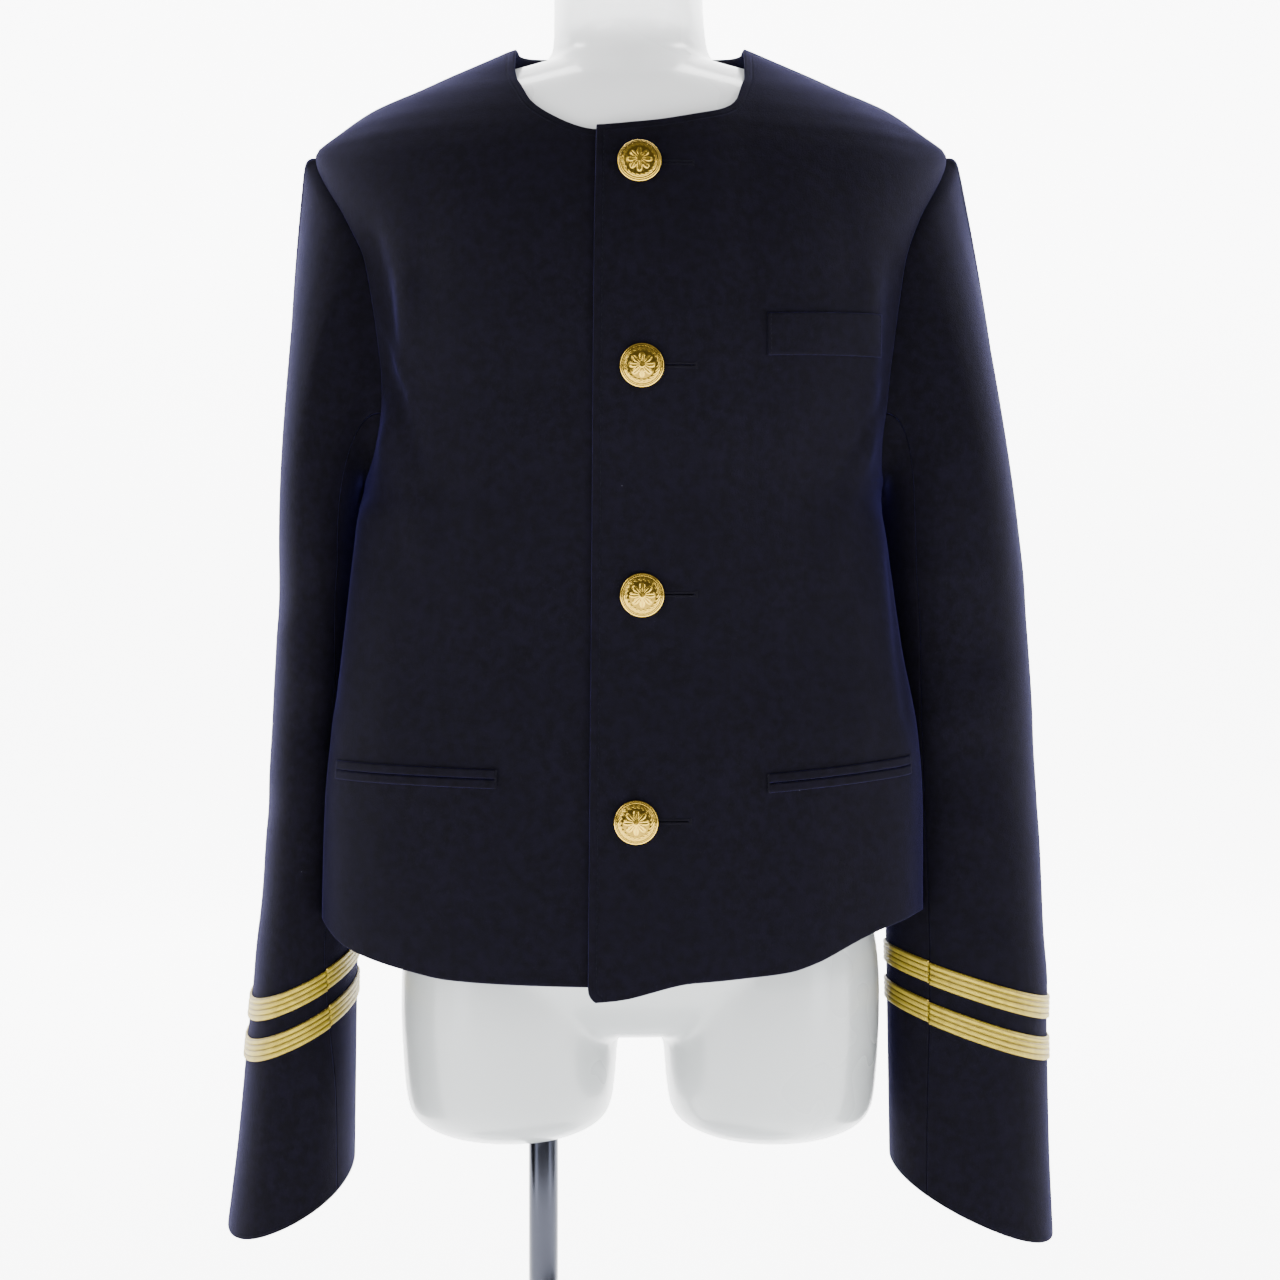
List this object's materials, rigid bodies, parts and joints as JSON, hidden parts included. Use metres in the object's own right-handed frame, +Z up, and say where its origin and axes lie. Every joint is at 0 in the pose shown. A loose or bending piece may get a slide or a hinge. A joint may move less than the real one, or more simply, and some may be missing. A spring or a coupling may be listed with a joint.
{
  "type": "captain jacket on a dress form",
  "caption": "Cropped collarless navy wool captain jacket with domed gold buttons, jetted pockets and braid-ringed sleeves, buttoned on a limbless dress form with a pole stand.",
  "frame": {"origin": "on the floor under the middle of the whole part", "axes": "+Z up; the jacket's front faces -Y; +X is the wearer's left side"},
  "size_m": [0.4724, 0.28, 0.851],
  "materials": {
    "navy_wool": "matt milled wool with a short nap",
    "gold_braid": "ribbed metallic braid",
    "gold_metal": "polished gold plate",
    "white_gloss": "glossy white lacquer",
    "chrome": "polished",
    "stand_steel": "polished plate"
  },
  "bodies": {
    "root": {"back": "navy_wool", "braid_high_top_left": "gold_braid", "braid_high_top_right": "gold_braid", "braid_high_under_left": "gold_braid", "braid_high_under_right": "gold_braid", "braid_low_top_left": "gold_braid", "braid_low_top_right": "gold_braid", "braid_low_under_left": "gold_braid", "braid_low_under_right": "gold_braid", "breast_welt": "navy_wool", "button_1": "gold_metal", "button_2": "gold_metal", "button_3": "gold_metal", "button_4": "gold_metal", "form_body": "white_gloss", "front_left": "navy_wool", "front_right": "navy_wool", "hip_jet_lower_left": "navy_wool", "hip_jet_lower_right": "navy_wool", "hip_jet_upper_left": "navy_wool", "hip_jet_upper_right": "navy_wool", "pole": "chrome", "sleeve_top_left": "navy_wool", "sleeve_top_right": "navy_wool", "sleeve_under_left": "navy_wool", "sleeve_under_right": "navy_wool", "stand_base": "stand_steel"}
  },
  "joints": []
}
